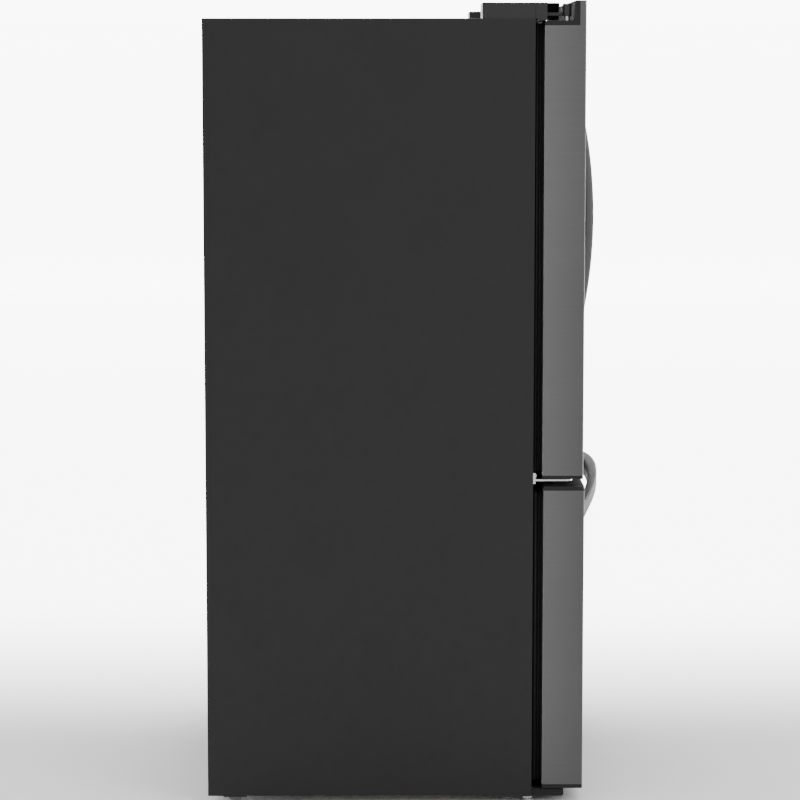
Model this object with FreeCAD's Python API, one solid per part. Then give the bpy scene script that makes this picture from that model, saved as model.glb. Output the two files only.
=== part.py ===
import FreeCAD, Part
import math
import os

# French door refrigerator with a bottom freezer drawer, 36-inch class.
# Millimetres. X runs across the width, the doors face -Y, Z is up, and the origin is on the
# floor at the middle of the whole object's box. "left" is the -X side, as seen from the front.

# --- driving dimensions -------------------------------------------------------------------
WIDTH = 908.0  # over the side panels
CASE_DEPTH = 725.0  # side panel, front to back
CASE_BOTTOM = 15.0  # underside of the side panels
CASE_TOP = 1744.0
SHEET = 1.2  # painted steel sheet
LINER_WALL = 2.0
SIDE_FOAM = 45.0  # side panel to liner
BACK_FOAM = 60.0

DOOR_GAP = 21.0  # case front to the back of the doors, filled by the gaskets
DOOR_DEPTH = 90.0
DOOR_BOTTOM = 732.0
DOOR_TOP = 1739.0  # top of the plastic end cap
CAP_BOTTOM = 8.0  # visible height of the lower end cap
CAP_TOP = 10.5
LIP_TOP = 1783.0  # front panel stands up in front of the hinge covers
LIP_METAL = 13.8
LIP_DEPTH = 26.0
DOOR_MARGIN = 1.0  # door edge inside the side panel's plane
DOOR_SPLIT = 6.0  # gap between the two doors

DRAWER_FORWARD = 3.0  # freezer drawer stands this much proud of the doors
DRAWER_BOTTOM = 31.0
DRAWER_TOP = 715.0
DRAWER_CAP = 9.0

HINGE_BACK = 41.0  # hinge axis behind the door's face
HINGE_IN = 25.0  # hinge axis inside the door's outer edge
PIN_R = 6.0
FIT = 0.05  # radial clearance of a pin in its bore

HANDLE_REACH = 52.0
HANDLE_LENGTH = 690.0
HANDLE_Z = 1290.0
HANDLE_X = 44.0  # handle axis beside the middle of the object
BAR_DEPTH = 22.0
BAR_WIDTH = 30.0
DRAWER_HANDLE_REACH = 60.0
DRAWER_HANDLE_LENGTH = 860.0
DRAWER_HANDLE_Z = 657.0  # at the bar's ends
DRAWER_HANDLE_RISE = 34.0  # its middle stands this much higher
DRAWER_BAR_WIDTH = 38.0

GASKET_INSET = 14.0
GASKET_TOP_INSET = 5.0
GASKET_WIDTH = 24.0
GASKET_GAP = 1.5  # left between the gasket and the case

# --- planes worked out from them ----------------------------------------------------------
HALF = WIDTH / 2
OVERALL_DEPTH = CASE_DEPTH + DOOR_GAP + DOOR_DEPTH + DRAWER_FORWARD + DRAWER_HANDLE_REACH
CASE_BACK = OVERALL_DEPTH / 2
CASE_FRONT = CASE_BACK - CASE_DEPTH
DOOR_REAR = CASE_FRONT - DOOR_GAP
DOOR_FACE = DOOR_REAR - DOOR_DEPTH
DRAWER_REAR = DOOR_REAR - DRAWER_FORWARD
DRAWER_FACE = DOOR_FACE - DRAWER_FORWARD
DOOR_OUT = HALF - DOOR_MARGIN  # outer edge of a door, as a distance from the middle
DOOR_IN = DOOR_SPLIT / 2  # inner edge
HINGE_X = DOOR_OUT - HINGE_IN
HINGE_Y = DOOR_FACE + HINGE_BACK
LINER_X = HALF - SHEET - SIDE_FOAM  # outer face of both liners
LINER_BACK = CASE_BACK - BACK_FOAM
FRIDGE_FLOOR = 768.0
FRIDGE_CEILING = 1692.0
FREEZER_FLOOR = 72.0
FREEZER_CEILING = 678.0
MACHINE_DEPTH = 232.0  # machine compartment, low at the back
MACHINE_TOP = 285.0
RAIL_DEPTH = 12.0  # cross rail between the compartments
SILL_DEPTH = 20.0  # sill under the freezer

V = FreeCAD.Vector
UP = V(0, 0, 1)
ACROSS = V(1, 0, 0)
DEEP = V(0, 1, 0)

os.makedirs("parts", exist_ok=True)


# --- helpers ------------------------------------------------------------------------------
def box(x0, x1, y0, y1, z0, z1):
    return Part.makeBox(x1 - x0, y1 - y0, z1 - z0, V(x0, y0, z0))


def rod(x, y, z, radius, length, axis=UP):
    return Part.makeCylinder(radius, length, V(x, y, z), axis)


def fuse(shapes):
    joined = shapes[0]
    if len(shapes) > 1:
        joined = joined.multiFuse(shapes[1:])
    return joined.removeSplitter()


def cut(shape, tools):
    return shape.cut(Part.makeCompound(tools)) if len(tools) > 1 else shape.cut(tools[0])


def mirrored(shape):
    """The same piece on the other side of the object."""
    return shape.mirror(V(0, 0, 0), ACROSS)


def both_sides(shape):
    return Part.makeCompound([shape, mirrored(shape)])


def round_edges(shape, radius, wanted):
    """Fillets the straight edges whose middle point satisfies wanted(point, direction)."""
    picked = []
    for edge in shape.Edges:
        if not isinstance(edge.Curve, Part.Line):
            continue
        ends = [v.Point for v in edge.Vertexes]
        along = (ends[1] - ends[0]).normalize()
        if wanted((ends[0] + ends[1]) * 0.5, along):
            picked.append(edge)
    return shape.makeFillet(radius, picked)


def rounded_box(x0, x1, y0, y1, z0, z1, radius, axis="z"):
    """A box with the four edges along one axis rounded."""
    index = "xyz".index(axis)
    return round_edges(box(x0, x1, y0, y1, z0, z1), radius, lambda p, d: abs(d[index]) > 0.99)


def tray(x0, x1, y0, y1, z0, z1, wall, radius):
    """An open-topped tray with rounded corners."""
    outer = rounded_box(x0, x1, y0, y1, z0, z1, radius)
    inner = rounded_box(x0 + wall, x1 - wall, y0 + wall, y1 - wall, z0 + wall, z1 + 1, radius - wall)
    return outer.cut(inner)


def ring(x0, x1, y0, y1, z0, z1, width):
    """A rectangular frame in the XZ plane, y0 to y1 deep."""
    hole = box(x0 + width, x1 - width, y0 - 1, y1 + 1, z0 + width, z1 - width)
    return box(x0, x1, y0, y1, z0, z1).cut(hole)


def bow(length, reach, depth, width):
    """A bowed bar lying along X, bulging towards -Y, with its ends at y = 0."""
    def lens(span, height, back):
        points = [V(-span / 2, back, 0), V(0, -height, 0), V(span / 2, back, 0)]
        arc = Part.Arc(*points).toShape()
        return Part.Face(Part.Wire([arc, Part.LineSegment(points[2], points[0]).toShape()]))

    bend = ((length / 2) ** 2 + reach ** 2) / (2 * reach)
    inner_reach = reach - depth
    inner_span = 2 * math.sqrt((bend - depth) ** 2 - (bend - reach) ** 2)
    outline = lens(length, reach, 0).cut(lens(inner_span, inner_reach, 0))
    return outline.extrude(V(0, 0, width)).translated(V(0, 0, -width / 2))


def fan(x, y, z, radius, hub, depth, bore, blades):
    """A propeller on a Y axis, its front face at y."""
    body = rod(x, y, z, hub, depth, DEEP)
    for n in range(blades):
        blade = box(-radius * 0.26, radius * 0.26, -1.0, 1.0, hub * 0.8, radius)
        rim = rod(0, -depth, 0, radius, 3 * depth, DEEP)
        blade.rotate(V(0, 0, 0), UP, 24)
        blade = blade.common(rim)
        blade.rotate(V(0, 0, 0), DEEP, 360.0 * n / blades)
        blade.translate(V(x, y + depth / 2, z))
        body = body.fuse(blade)
    return body.removeSplitter().cut(rod(x, y - 1, z, bore, depth + 2, DEEP))


def finned_coil(x0, x1, y0, y1, z0, z1, tube_rows, tube_columns, fins):
    """Tubes along X through a bank of thin fins, closed by an end plate at each side."""
    tubes = []
    for row in range(tube_rows):
        for column in range(tube_columns):
            y = y0 + (y1 - y0) * (column + 0.5) / tube_columns
            z = z0 + (z1 - z0) * (row + 0.5) / tube_rows
            tubes.append(rod(x0, y, z, 4.0, x1 - x0, ACROSS))
    for n in range(fins + 2):
        x = x0 + 8 + (x1 - x0 - 16) * n / (fins + 1)
        half = 1.2 if n in (0, fins + 1) else 0.5
        tubes.append(box(x - half, x + half, y0, y1, z0, z1))
    return fuse(tubes)


def save(name, shape):
    if not shape.isValid() or shape.Volume <= 0:
        print("invalid shape:", name)
    shape.exportStep(os.path.join("parts", name + ".step"))


# --- cabinet ------------------------------------------------------------------------------
def cabinet_wrapper():
    """Two side panels and the top, folded inwards at the front."""
    outer = box(-HALF, HALF, CASE_FRONT, CASE_BACK, CASE_BOTTOM, CASE_TOP)
    outer = round_edges(outer, 3.0, lambda p, d: abs(d.y) > 0.99 and p.z > CASE_TOP - 1)
    inside = box(-HALF + SHEET, HALF - SHEET, CASE_FRONT + SHEET, CASE_BACK + 1,
                 CASE_BOTTOM - 1, CASE_TOP - SHEET)
    mouth = box(-LINER_X, LINER_X, CASE_FRONT - 1, CASE_FRONT + 3, CASE_BOTTOM - 1, FRIDGE_CEILING)
    return cut(outer, [inside, mouth])


def cabinet_back():
    panel = box(-HALF + SHEET, HALF - SHEET, CASE_BACK - 3 - SHEET, CASE_BACK - 3,
                MACHINE_TOP, CASE_TOP - SHEET)
    ribs = [box(x - 20, x + 20, CASE_BACK - 3, CASE_BACK - 0.5, MACHINE_TOP + 90, CASE_TOP - 110)
            for x in (-300, -100, 100, 300)]
    return fuse([panel] + ribs)


def freezer_space(inset):
    """The freezer compartment, stepped over the machine compartment."""
    back = LINER_BACK - inset
    step_back = CASE_BACK - MACHINE_DEPTH - 30 - inset
    upper = box(-LINER_X + inset, LINER_X - inset, CASE_FRONT, back,
                MACHINE_TOP + 45 + inset, FREEZER_CEILING - inset)
    lower = box(-LINER_X + inset, LINER_X - inset, CASE_FRONT, step_back,
                FREEZER_FLOOR + inset, FREEZER_CEILING - inset)
    return upper.fuse(lower).removeSplitter()


def fridge_space(inset):
    return box(-LINER_X + inset, LINER_X - inset, CASE_FRONT, LINER_BACK - inset,
               FRIDGE_FLOOR + inset, FRIDGE_CEILING - inset)


def cabinet_foam():
    body = box(-HALF + SHEET, HALF - SHEET, CASE_FRONT + SHEET, CASE_BACK - 3 - SHEET,
               CASE_BOTTOM + 30, CASE_TOP - SHEET)
    machine = box(-HALF, HALF, CASE_BACK - MACHINE_DEPTH, CASE_BACK, CASE_BOTTOM, MACHINE_TOP)
    mouth_rail = box(-LINER_X, LINER_X, CASE_FRONT, CASE_FRONT + RAIL_DEPTH,
                     FREEZER_CEILING, FRIDGE_FLOOR)
    sill = box(-HALF, HALF, CASE_FRONT, CASE_FRONT + SILL_DEPTH, CASE_BOTTOM, FREEZER_FLOOR)
    return cut(body, [machine, mouth_rail, sill, freezer_space(0), fridge_space(0)])


def cross_rails():
    """The rail between the compartments, and the channel-shaped sill below the freezer."""
    rail = box(-LINER_X, LINER_X, CASE_FRONT, CASE_FRONT + RAIL_DEPTH, FREEZER_CEILING, FRIDGE_FLOOR)
    rail = round_edges(rail, 1.5, lambda p, d: abs(d.x) > 0.99 and p.y < CASE_FRONT + 1)
    hollow = box(-HALF + 4, HALF - 4, CASE_FRONT + 2, CASE_FRONT + SILL_DEPTH + 1,
                 CASE_BOTTOM + 32, FREEZER_FLOOR - 2)
    sill = box(-HALF + SHEET, HALF - SHEET, CASE_FRONT + SHEET, CASE_FRONT + SILL_DEPTH,
               CASE_BOTTOM + 30, FREEZER_FLOOR)
    leg_holes = [rod(side * LEG_X, LEG_Y, CASE_BOTTOM + 29, LEG_R + 1.5, 5) for side in (-1, 1)]
    return Part.makeCompound([rail, cut(sill, [hollow] + leg_holes)])


def fridge_liner():
    shell = fridge_space(0).cut(fridge_space(LINER_WALL).fuse(
        box(-LINER_X + LINER_WALL, LINER_X - LINER_WALL, CASE_FRONT - 1, CASE_FRONT + 5,
            FRIDGE_FLOOR + LINER_WALL, FRIDGE_CEILING - LINER_WALL)))
    ledge = box(LINER_X - LINER_WALL - 15, LINER_X - 1, SHELF_FRONT + 12, SHELF_BACK,
                CRISPER_TOP - 10, CRISPER_TOP - 3.5)
    return fuse([shell, ledge, mirrored(ledge)])


def freezer_liner():
    return freezer_space(0).cut(freezer_space(LINER_WALL))


# --- underneath and the machine compartment -----------------------------------------------
ROLLER_X = HALF - 22.0
ROLLER_WIDTH = 16.0
FRONT_ROLLER_R = 15.0
REAR_ROLLER_R = 20.0
AXLE_R = 4.0
FRONT_ROLLER_Y = CASE_FRONT + 55.0
REAR_ROLLER_Y = CASE_BACK - 60.0
FRONT_ROLLER_Z = FRONT_ROLLER_R + 2.0
LEG_X = HALF - 22.0
LEG_Y = CASE_FRONT + 8.0
LEG_R = 5.0
RAIL_TOP = 45.0


def base_rail():
    """One steel rail under a side panel, with the roller forks and the levelling leg's nut."""
    x0, x1 = ROLLER_X - 13, ROLLER_X + 13
    web = box(x0, x1, CASE_FRONT + SILL_DEPTH, CASE_BACK - 6, RAIL_TOP - 2, RAIL_TOP)
    pieces = [web, box(LEG_X - 14, LEG_X + 14, CASE_FRONT + 1.5, CASE_FRONT + 24, 24, 28)]
    pieces.append(box(x0, x1, CASE_FRONT + 18, CASE_FRONT + 24, 24, RAIL_TOP))
    forks = ((FRONT_ROLLER_Y, FRONT_ROLLER_Z, 8, 35), (REAR_ROLLER_Y, REAR_ROLLER_R, 10, 26))
    for y, z, low, half in forks:
        for x in (x0, x1 - 2):
            pieces.append(box(x, x + 2, y - half, y + half, low, RAIL_TOP))
        pieces.append(rod(x0, y, z, AXLE_R, x1 - x0, ACROSS))
    rail = fuse(pieces)
    return rail.cut(rod(LEG_X, LEG_Y, 20, LEG_R + FIT, 12))


def roller(y, z, radius):
    wheel = rod(ROLLER_X - ROLLER_WIDTH / 2, y, z, radius, ROLLER_WIDTH, ACROSS)
    wheel = wheel.makeChamfer(1.5, [e for e in wheel.Edges if isinstance(e.Curve, Part.Circle)])
    groove = rod(ROLLER_X - 3, y, z, radius + 1, 6, ACROSS).cut(
        rod(ROLLER_X - 3, y, z, radius - 1.5, 6, ACROSS))
    return wheel.cut(groove).cut(rod(ROLLER_X - ROLLER_WIDTH, y, z, AXLE_R + FIT, 2 * ROLLER_WIDTH, ACROSS))


def levelling_leg():
    """A threaded stud on a hexagonal foot."""
    foot = Part.Face(Part.makePolygon(
        [V(LEG_X + 12 * math.cos(math.radians(60 * n)), LEG_Y + 12 * math.sin(math.radians(60 * n)), 3)
         for n in range(7)])).extrude(V(0, 0, 7))
    pad = rod(LEG_X, LEG_Y, 0, 12.5, 3.2)
    thread = [Part.makeCylinder(LEG_R, 46, V(LEG_X, LEG_Y, 6))]
    return fuse([foot, pad] + thread)


def kick_plate():
    """Black plastic toe grille under the freezer drawer."""
    front = DRAWER_FACE + 42
    plate = box(-HALF + 5, HALF - 5, front, CASE_FRONT, 12.0, 28.5)
    plate = round_edges(plate, 5.0, lambda p, d: abs(d.x) > 0.99 and p.y < front + 1 and p.z < 13)
    hollow = box(-HALF + 8, HALF - 8, front + 6, CASE_FRONT + 1, 11, 25.5)
    slots = [box(x - 14, x + 14, front - 1, front + 7, 18.5, 22.5) for x in range(-400, 401, 40)]
    legs = [rod(side * LEG_X, LEG_Y, 10, 15, 30) for side in (-1, 1)]
    return cut(plate, [hollow] + slots + legs)


def base_pan():
    """Steel floor of the machine compartment."""
    y0, y1 = CASE_BACK - MACHINE_DEPTH + 4, CASE_BACK - 8
    edge = HALF - 40
    floor = box(-edge, edge, y0, y1, RAIL_TOP, RAIL_TOP + 2)
    upstand = box(-edge, edge, y0, y0 + 2, RAIL_TOP, RAIL_TOP + 18)
    ties = [box(x0, x0 + 28, y0, y1, RAIL_TOP, RAIL_TOP + 2) for x0 in (-HALF + SHEET + 9, HALF - SHEET - 37)]
    return fuse([floor, upstand] + ties)


def machine_cover():
    """Louvred board over the machine compartment."""
    y1 = CASE_BACK - 12
    board = box(-HALF + 3, HALF - 3, y1 - 2, y1, RAIL_TOP + 3, MACHINE_TOP - 1)
    slots = []
    for x in range(-380, 381, 40):
        if abs(x) < 130 or x > 300:
            continue
        for z in range(110, 241, 18):
            slots.append(box(x - 14, x + 14, y1 - 3, y1 + 1, z, z + 6))
    gland_hole = rod(GLAND_X, y1 - 3, GLAND_Z, 9, 5, DEEP)
    return cut(board, slots + [gland_hole])


GLAND_X = 330.0
GLAND_Z = 150.0


def cord_gland():
    y1 = CASE_BACK - 12
    collar = rod(GLAND_X, y1, GLAND_Z, 13, 3, DEEP)
    body = rod(GLAND_X, y1 - 10, GLAND_Z, 8.9, 20, DEEP)
    return fuse([collar, body]).cut(rod(GLAND_X, y1 - 11, GLAND_Z, 4.2, 30, DEEP))


MACHINE_Y = CASE_BACK - MACHINE_DEPTH / 2 - 2
PAN_TOP = RAIL_TOP + 2


def compressor():
    """Hermetic motor-compressor: a welded can on a sprung foot plate."""
    x, r = -210.0, 78.0
    bottom = PAN_TOP + 14
    can = rod(x, MACHINE_Y, bottom, r, 150)
    can = can.makeFillet(34, [e for e in can.Edges if isinstance(e.Curve, Part.Circle)])
    seam = rod(x, MACHINE_Y, bottom + 82, r + 3, 5)
    plate = rounded_box(x - 95, x + 95, MACHINE_Y - 62, MACHINE_Y + 62, bottom - 4, bottom + 3, 14)
    feet = [rod(x + sx * 80, MACHINE_Y + sy * 48, PAN_TOP, 9, 10) for sx in (-1, 1) for sy in (-1, 1)]
    box_cover = rounded_box(x + r - 8, x + r + 26, MACHINE_Y - 28, MACHINE_Y + 28,
                            bottom + 30, bottom + 100, 5)
    tube = rod(x - 20, MACHINE_Y + 10, bottom + 140, 5, 36)
    return fuse([can, seam, plate, box_cover, tube] + feet)


def condenser():
    return finned_coil(60, 290, MACHINE_Y - 80, MACHINE_Y + 80, PAN_TOP + 22, PAN_TOP + 190, 6, 4, 22)


FAN_X = -20.0
FAN_Z = PAN_TOP + 110.0
FAN_SHAFT_R = 3.0


def condenser_fan_mount():
    """Shroud board with the fan motor held by three arms."""
    y0 = MACHINE_Y - 30
    board = box(FAN_X - 84, FAN_X + 74, y0, y0 + 3, PAN_TOP, PAN_TOP + 200)
    board = board.cut(rod(FAN_X, y0 - 1, FAN_Z, 68, 5, DEEP))
    motor = rod(FAN_X, y0 + 34, FAN_Z, 26, 44, DEEP)
    arms = []
    for n in range(3):
        arm = box(-4, 4, y0 + 40, y0 + 46, 20, 74)
        arm = arm.fuse(box(-4, 4, y0, y0 + 46, 70, 76))
        arm.rotate(V(0, 0, 0), DEEP, 120 * n + 60)
        arms.append(arm.translated(V(FAN_X, 0, FAN_Z)))
    shaft = rod(FAN_X, y0 - 4, FAN_Z, FAN_SHAFT_R, 40, DEEP)
    return fuse([board, motor, shaft] + arms)


def condenser_fan():
    return fan(FAN_X, MACHINE_Y - 30, FAN_Z, 62, 22, 18, FAN_SHAFT_R + FIT, 5)


def drain_pan():
    return tray(70, 280, MACHINE_Y - 84, MACHINE_Y + 84, PAN_TOP, PAN_TOP + 18, 2, 10)


# --- inside the compartments --------------------------------------------------------------
EVAPORATOR_Y = LINER_BACK - LINER_WALL - 80
EVAPORATOR_FAN_Z = 606.0


def evaporator():
    return finned_coil(-300, 300, EVAPORATOR_Y + 14, EVAPORATOR_Y + 70, 345, 520, 6, 2, 30)


def evaporator_cover():
    """Panel in front of the evaporator, with the fan opening and the motor behind it."""
    edge = LINER_X - LINER_WALL
    panel = box(-edge, edge, EVAPORATOR_Y - 2, EVAPORATOR_Y,
                MACHINE_TOP + 45 + LINER_WALL, FREEZER_CEILING - LINER_WALL)
    hole = rod(0, EVAPORATOR_Y - 3, EVAPORATOR_FAN_Z, 60, 5, DEEP)
    slots = [box(x - 16, x + 16, EVAPORATOR_Y - 3, EVAPORATOR_Y + 1, 350, 356) for x in range(-330, 331, 60)]
    panel = cut(panel, [hole] + slots)
    motor = rod(0, EVAPORATOR_Y + 32, EVAPORATOR_FAN_Z, 22, 30, DEEP)
    shaft = rod(0, EVAPORATOR_Y + 2, EVAPORATOR_FAN_Z, FAN_SHAFT_R, 34, DEEP)
    arms = [box(side * 64 - 3, side * 64 + 3, EVAPORATOR_Y - 1, EVAPORATOR_Y + 44,
                EVAPORATOR_FAN_Z - 5, EVAPORATOR_FAN_Z + 5) for side in (-1, 1)]
    arms.append(box(-64, 64, EVAPORATOR_Y + 38, EVAPORATOR_Y + 44,
                    EVAPORATOR_FAN_Z - 5, EVAPORATOR_FAN_Z + 5))
    return fuse([panel, motor, shaft] + arms)


def evaporator_fan():
    return fan(0, EVAPORATOR_Y + 6, EVAPORATOR_FAN_Z, 54, 18, 16, FAN_SHAFT_R + FIT, 5)


SHELF_LEVELS = (965.0, 1185.0, 1420.0)  # top of the crisper cover, then the two glass shelves
SHELF_FRONT = CASE_FRONT + 150.0
SHELF_BACK = LINER_BACK - LINER_WALL - 34.0
PANE = 4.0
CRISPER_TOP = SHELF_LEVELS[0] - 20
DUCT_HALF = 95.0


def air_duct():
    """Moulded air panel on the refrigerator's back wall."""
    y1 = LINER_BACK - LINER_WALL
    panel = rounded_box(-DUCT_HALF, DUCT_HALF, y1 - 28, y1, FRIDGE_FLOOR + 240, FRIDGE_CEILING - 60, 12)
    vents = [box(side * 60 - 22, side * 60 + 22, y1 - 30, y1 - 20, z, z + 12)
             for z in (1080, 1320, 1540) for side in (-1, 1)]
    return cut(panel, vents)


def light_lens():
    z1 = FRIDGE_CEILING - LINER_WALL
    return rounded_box(-170, 170, CASE_FRONT + 200, CASE_FRONT + 320, z1 - 12, z1, 18)


def control_panel():
    """Touch controls on the ceiling; nothing on it travels."""
    z1 = FRIDGE_CEILING - LINER_WALL
    return rounded_box(-130, 130, CASE_FRONT + 92, CASE_FRONT + 168, z1 - 16, z1, 10)


def shelf_frames():
    """Cantilever frames of the four half-width shelves, their wall tracks, and the crisper cover."""
    frames = []
    y1 = LINER_BACK - LINER_WALL
    for side in (-1, 1):
        x0, x1 = 12.0, LINER_X - LINER_WALL - 6
        for top in SHELF_LEVELS[1:]:
            pieces = [box(x0, x1, SHELF_FRONT, SHELF_FRONT + 22, top - 12, top + 3),
                      box(x0, x1, SHELF_BACK - 14, SHELF_BACK, top - 10, top + 8)]
            for x in (DUCT_HALF + 9, x1 - 11):
                profile = Part.makePolygon([V(x, SHELF_FRONT + 10, top - 10), V(x, y1 - 9, top - 56),
                                            V(x, y1 - 9, top - PANE), V(x, SHELF_FRONT + 10, top - PANE),
                                            V(x, SHELF_FRONT + 10, top - 10)])
                pieces.append(Part.Face(profile).extrude(V(3, 0, 0)))
            rebate = box(x0 + 3, x1 - 3, SHELF_FRONT + 6, SHELF_BACK - 4, top - PANE, top + 0.01)
            frame = fuse(pieces).cut(rebate)
            frames.append(frame if side > 0 else mirrored(frame))
        for x in (DUCT_HALF + 10.5, x1 - 9.5):
            track = box(x - 8, x + 8, y1 - 8, y1, FRIDGE_FLOOR + 260, FRIDGE_CEILING - 80)
            frames.append(track if side > 0 else mirrored(track))
    top = SHELF_LEVELS[0]
    edge = LINER_X - LINER_WALL - 1
    cover = box(-edge, edge, SHELF_FRONT, SHELF_BACK + 20, top - 14, top + 2).cut(
        box(-edge + 16, edge - 16, SHELF_FRONT + 16, SHELF_BACK + 4, top - 20, top + 5))
    rebate = box(-edge + 10, edge - 10, SHELF_FRONT + 10, SHELF_BACK + 10, top - PANE, top + 5)
    hanger = box(-3, 3, SHELF_FRONT + 10, SHELF_BACK + 4, CRISPER_TOP - 7.5, top - PANE)
    runner = box(-19, 19, SHELF_FRONT + 16, SHELF_BACK + 4, CRISPER_TOP - 7.5, CRISPER_TOP - 3.5)
    frames.append(fuse([cover.cut(rebate), hanger, runner]))
    return Part.makeCompound(frames)


def shelf_panes():
    panes = []
    for top in SHELF_LEVELS[1:]:
        pane = box(15.5, LINER_X - LINER_WALL - 9.5, SHELF_FRONT + 6.5, SHELF_BACK - 4.5, top - PANE, top)
        panes += [pane, mirrored(pane)]
    edge = LINER_X - LINER_WALL - 11.5
    top = SHELF_LEVELS[0]
    panes.append(box(-edge, edge, SHELF_FRONT + 10.5, SHELF_BACK + 9.5, top - PANE, top))
    return Part.makeCompound(panes)


def crisper():
    """Right-hand vegetable drawer, hung by its rims."""
    top = CRISPER_TOP
    x0, x1 = 22.0, LINER_X - LINER_WALL - 16
    y0, y1 = SHELF_FRONT + 3, SHELF_BACK - 20
    bin_body = tray(x0, x1, y0, y1, top - 162, top, 2.5, 16)
    rims = [box(low, high, y0 + 14, y1 - 14, top - 3, top)
            for low, high in ((x0 - 10, x0 + 2), (x1 - 2, x1 + 5))]
    front = box(x0 - 10, x1 + 5, y0 - 5, y0 + 2.5, top - 166, top + 3)
    front = round_edges(front, 6.0, lambda p, d: abs(d.y) > 0.99)
    pull = box(x0 + 60, x1 - 60, y0 - 7, y0 + 1, top - 34, top - 28)
    return fuse([bin_body, front, pull] + rims)


# --- hinges -------------------------------------------------------------------------------
def top_hinge():
    """Plated pin in a boss at the end of a plate bolted on the case."""
    plate = rounded_box(HINGE_X - 8, HINGE_X + 20, CASE_FRONT + 14, CASE_FRONT + 104,
                        CASE_TOP, CASE_TOP + 6, 5)
    arm = box(HINGE_X - 20, HINGE_X - 4.5, HINGE_Y, CASE_FRONT + 60, CASE_TOP + 6, CASE_TOP + 13)
    boss = rod(HINGE_X, HINGE_Y, CASE_TOP + 5, 10, 27)
    pin = rod(HINGE_X, HINGE_Y, DOOR_TOP - 20, PIN_R, 40)
    heads = [rod(HINGE_X + 12, CASE_FRONT + 14 + dy, CASE_TOP + 6, 6, 5) for dy in (16, 72)]
    return fuse([plate, arm, boss, pin] + heads)


COVER_FRONT = DOOR_FACE + 57.6
COVER_BACK = DOOR_FACE + 226.6
COVER_WIDTH = 112.0
SWEEP_R = 51.0  # circle that the front panel's corner turns in


def hinge_cover():
    """Moulded cover over a top hinge, scalloped where the opening door's corner turns."""
    x0, x1 = HALF - 2 - COVER_WIDTH, HALF - 2
    top = CASE_TOP + 34
    outer = box(x0, x1, COVER_FRONT, COVER_BACK, CASE_TOP - 2, top)
    outer = round_edges(outer, 5.0, lambda p, d: abs(d.z) > 0.99)
    outer = round_edges(outer, 1.5, lambda p, d: p.z > top - 0.1)
    inner = box(x0 + 2, x1 - 2, COVER_FRONT + 2, COVER_BACK - 2, CASE_TOP - 3, top - 2)
    on_case = box(x0 - 1, x1 + 1, CASE_FRONT - 0.2, COVER_BACK + 1, CASE_TOP - 5, CASE_TOP)
    scallop = rod(HINGE_X, HINGE_Y, CASE_TOP - 5, SWEEP_R, 50)
    scallop = scallop.cut(box(HINGE_X - 90, HINGE_X - 4, HINGE_Y - 90, HINGE_Y + 90, CASE_TOP - 6, top + 9))
    arm_way = box(HINGE_X - 22, HINGE_X + 6, COVER_FRONT - 1, COVER_FRONT + 3, CASE_TOP - 5, CASE_TOP + 15)
    wall = rod(HINGE_X, HINGE_Y, CASE_TOP + 0.2, SWEEP_R + 2, 33.8).common(outer)
    wall = wall.cut(box(HINGE_X - 90, HINGE_X - 4, HINGE_Y - 90, HINGE_Y + 90, CASE_TOP - 6, top + 9))
    shell = outer.cut(inner).fuse(wall)
    return cut(shell, [on_case, scallop, arm_way])


def centre_hinge():
    """Plated bracket on the centre rail; its pin carries the door."""
    z0 = DOOR_BOTTOM - 6
    flange = box(HINGE_X - 34, HINGE_X + 16, CASE_FRONT - 6, CASE_FRONT, z0 - 6, z0 + 18)
    arm = box(HINGE_X - 14, HINGE_X + 14, HINGE_Y - 6, CASE_FRONT, z0, z0 + 4)
    nose = rod(HINGE_X, HINGE_Y - 4, z0, 14, 4)
    pin = rod(HINGE_X, HINGE_Y, z0, PIN_R, 28)
    washer = rod(HINGE_X, HINGE_Y, z0 + 4, 10, 1.6)
    heads = [rod(x, CASE_FRONT - 9, z0 + 10, 5, 4, DEEP) for x in (HINGE_X - 26, HINGE_X - 2)]
    return fuse([flange, arm, nose, pin, washer] + heads)


# --- doors (made as the right-hand one, mirrored for the left) ------------------------------
def panel_skin(x0, x1, face, rear, z0, z1):
    """Front sheet wrapped round both sides."""
    outer = round_edges(box(x0, x1, face, rear, z0, z1), 4.0, lambda p, d: abs(d.z) > 0.99 and p.y < face + 1)
    inner = round_edges(box(x0 + SHEET, x1 - SHEET, face + SHEET, rear + 1, z0 - 1, z1 + 1), 4.0 - SHEET,
                        lambda p, d: abs(d.z) > 0.99 and p.y < face + 2)
    return outer.cut(inner)


def door_skin():
    x0, x1 = DOOR_IN, DOOR_OUT
    z0, z1 = DOOR_BOTTOM + CAP_BOTTOM, DOOR_TOP - CAP_TOP
    body = panel_skin(x0, x1, DOOR_FACE, DOOR_REAR, z0, z1)
    lip = box(x0, x1, DOOR_FACE, DOOR_FACE + LIP_METAL, z1, LIP_TOP)
    lip = round_edges(lip, 4.0, lambda p, d: abs(d.z) > 0.99 and p.y < DOOR_FACE + 1)
    hollow = box(x0 + SHEET, x1 - SHEET, DOOR_FACE + SHEET, DOOR_FACE + LIP_METAL + 1,
                 z1 - 1, LIP_TOP - SHEET)
    hollow = round_edges(hollow, 4.0 - SHEET, lambda p, d: abs(d.z) > 0.99 and p.y < DOOR_FACE + 2)
    return fuse([body, lip.cut(hollow)])


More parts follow.
